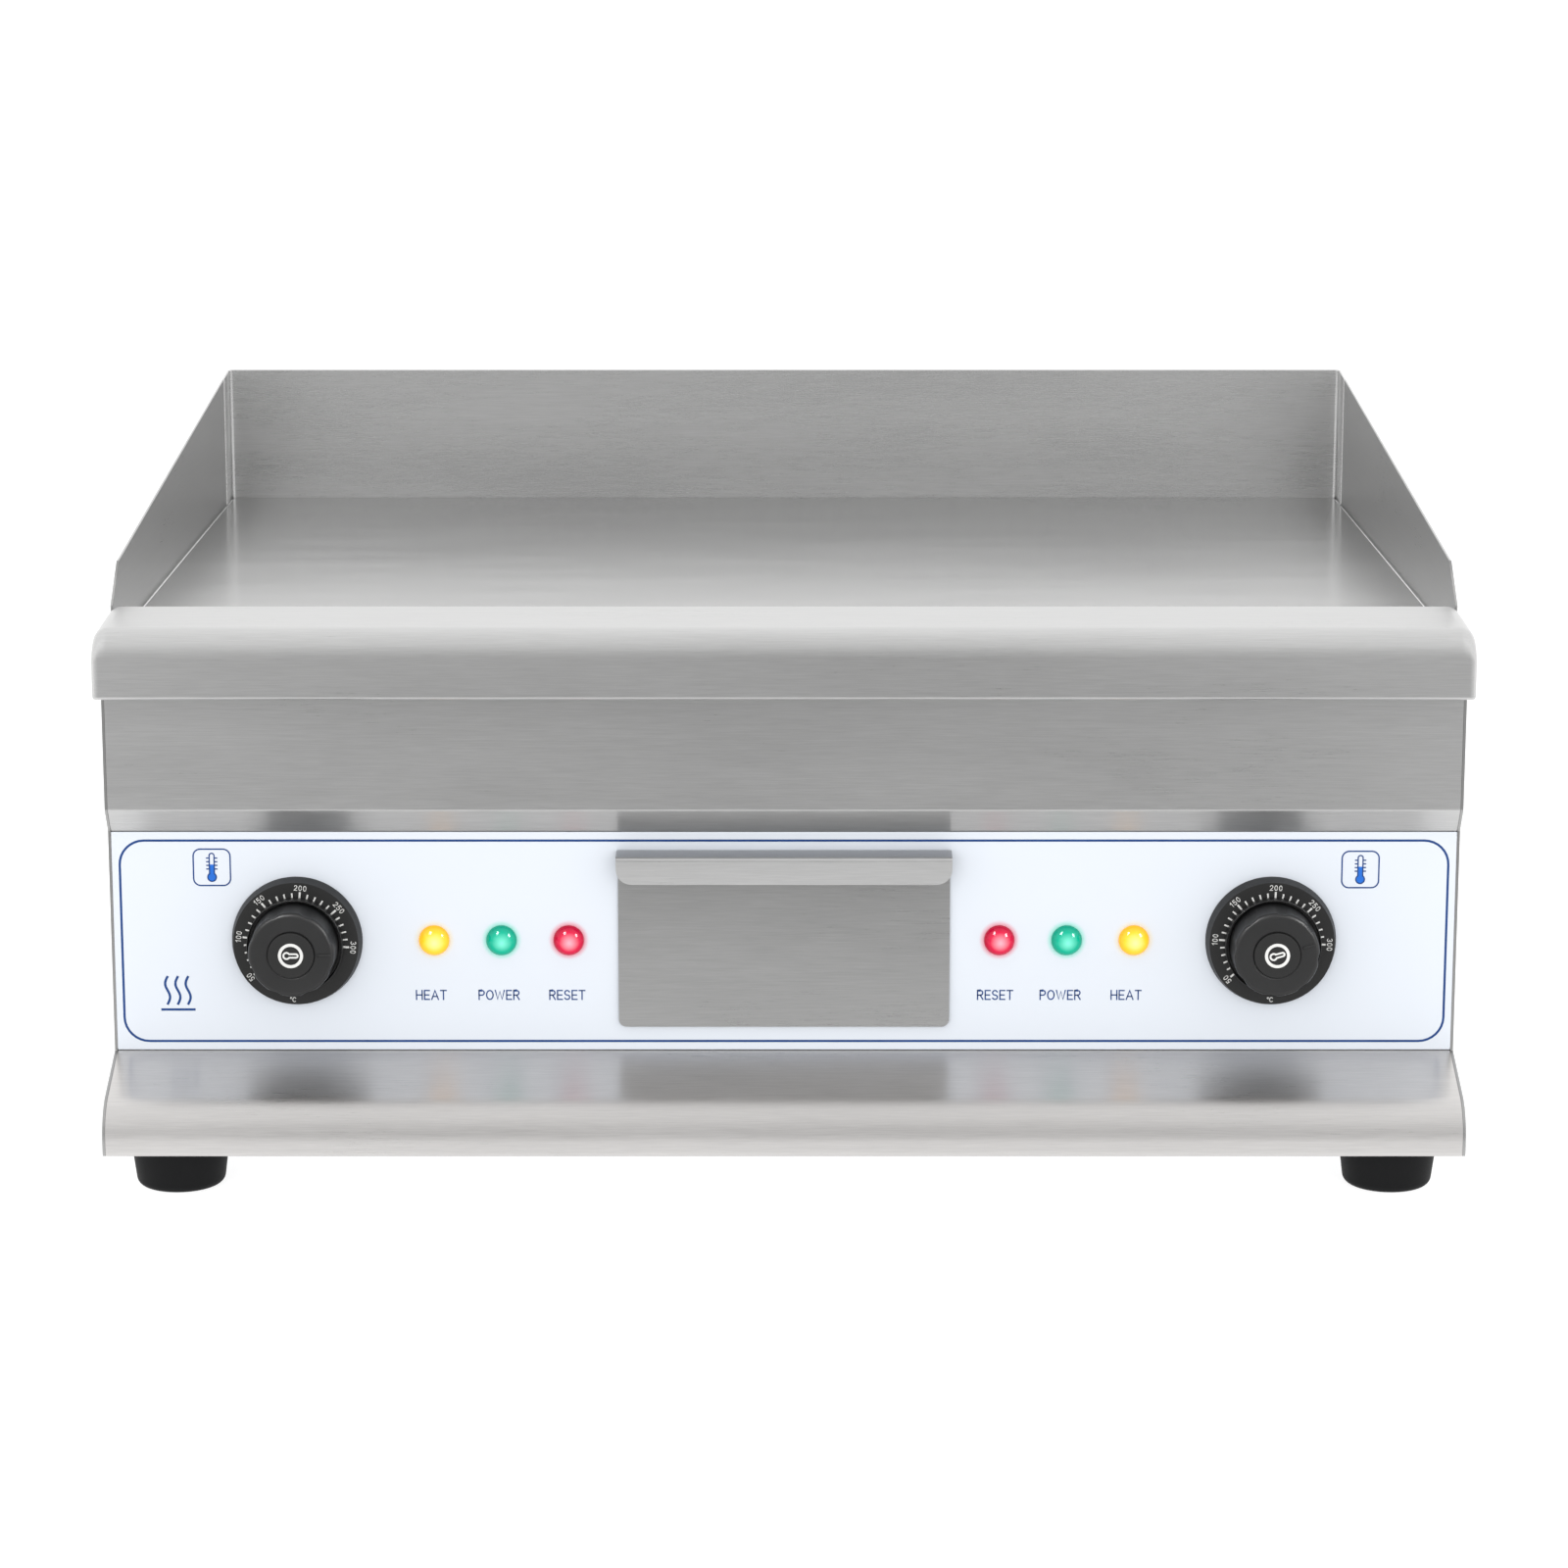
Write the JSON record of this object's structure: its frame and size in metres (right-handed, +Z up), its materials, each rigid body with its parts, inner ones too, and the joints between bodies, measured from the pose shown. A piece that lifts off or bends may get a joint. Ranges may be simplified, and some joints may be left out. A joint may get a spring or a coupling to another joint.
{
  "type": "flat top griddle",
  "caption": "Counter-top electric flat top griddle with splash guards, a grease trough and drawer, dial thermostats and pilot lamps.",
  "frame": {"origin": "on the table, under the middle of the whole object's box", "axes": "+X to the right as seen from the front, +Y to the back, +Z up; the control panel faces -Y"},
  "size_m": [0.6026, 0.532, 0.311],
  "materials": {
    "body_steel": "horizontally brushed stainless steel",
    "plate_steel": "finely ground steel cooking surface",
    "inner_steel": "plain galvanised sheet",
    "element_steel": "heat-darkened sheath",
    "zinc": "zinc-plated",
    "panel_film": "white printed film, satin",
    "dial_black": "black, fine texture, white scale",
    "knob_black": "satin black moulding",
    "lens_yellow": "lit translucent lens",
    "lens_green": "lit translucent lens",
    "lens_red": "lit translucent lens",
    "lamp_white": "moulded",
    "ceramic_cream": "moulded",
    "copper": "drawn tube",
    "reset_red": "moulded",
    "mineral_wool": "fibrous mat",
    "wire_red": "silicone sleeve",
    "gland_black": "moulded",
    "foot_rubber": "black rubber",
    "ink_blue": "printed ink on the panel film",
    "ink_white": "printed ink on the dials and caps"
  },
  "bodies": {
    "root": {"griddle_plate": "plate_steel", "splash_back": "body_steel", "splash_left": "body_steel", "splash_right": "body_steel", "grease_trough": "plate_steel", "drain_spout": "inner_steel", "front_lip": "body_steel", "front_apron": "body_steel", "control_panel": "body_steel", "panel_overlay": "panel_film", "base_nose": "body_steel", "side_panel_left": "body_steel", "side_panel_right": "body_steel", "back_panel": "body_steel", "bottom_plate": "inner_steel", "drawer_runner_left": "inner_steel", "drawer_runner_right": "inner_steel", "dial_left": "dial_black", "dial_right": "dial_black", "dial_screws": "zinc", "thermostat_left": "ceramic_cream", "thermostat_right": "ceramic_cream", "thermostat_probes": "copper", "limiter_left": "ceramic_cream", "limiter_right": "ceramic_cream", "limiter_probes": "copper", "lens_heat_left": "lens_yellow", "lens_power_left": "lens_green", "lens_reset_left": "lens_red", "lens_reset_right": "lens_red", "lens_power_right": "lens_green", "lens_heat_right": "lens_yellow", "lamp_bodies": "lamp_white", "heating_element_left": "element_steel", "heating_element_right": "element_steel", "element_clamps": "inner_steel", "clamp_fasteners": "zinc", "insulation_mat": "mineral_wool", "heat_shield": "inner_steel", "wiring_loom": "wire_red", "terminal_block": "ceramic_cream", "cable_gland": "gland_black", "bonding_terminal": "zinc", "foot_front_left": "foot_rubber", "foot_front_right": "foot_rubber", "foot_rear_left": "foot_rubber", "foot_rear_right": "foot_rubber", "foot_fasteners": "zinc", "body_screws": "zinc"},
    "drawer": {"drawer_tray": "body_steel", "drawer_front": "body_steel"},
    "left_knob": {"knob_left": "knob_black", "knob_cap_left": "dial_black", "knob_shaft_left": "zinc"},
    "right_knob": {"knob_right": "knob_black", "knob_cap_right": "dial_black", "knob_shaft_right": "zinc"},
    "left_reset": {"reset_button_left": "reset_red"},
    "right_reset": {"reset_button_right": "reset_red"}
  },
  "joints": [
    {"name": "drawer_slide", "type": "slide", "parent": "root", "child": "drawer", "axis": [0, -1, 0], "range_m": [0, 0.22]},
    {"name": "left_knob_turn", "type": "hinge", "parent": "root", "child": "left_knob", "pos_m": [-0.217, -0.228, 0.1107], "axis": [0, 1, 0], "range_deg": [-270, 8]},
    {"name": "right_knob_turn", "type": "hinge", "parent": "root", "child": "right_knob", "pos_m": [0.217, -0.228, 0.1107], "axis": [0, 1, 0], "range_deg": [-254, 24]},
    {"name": "left_reset_push", "type": "slide", "parent": "root", "child": "left_reset", "axis": [0, -1, 0], "range_m": [0, 0.003], "stiffness_N_per_m": 300},
    {"name": "right_reset_push", "type": "slide", "parent": "root", "child": "right_reset", "axis": [0, -1, 0], "range_m": [0, 0.003], "stiffness_N_per_m": 300}
  ]
}
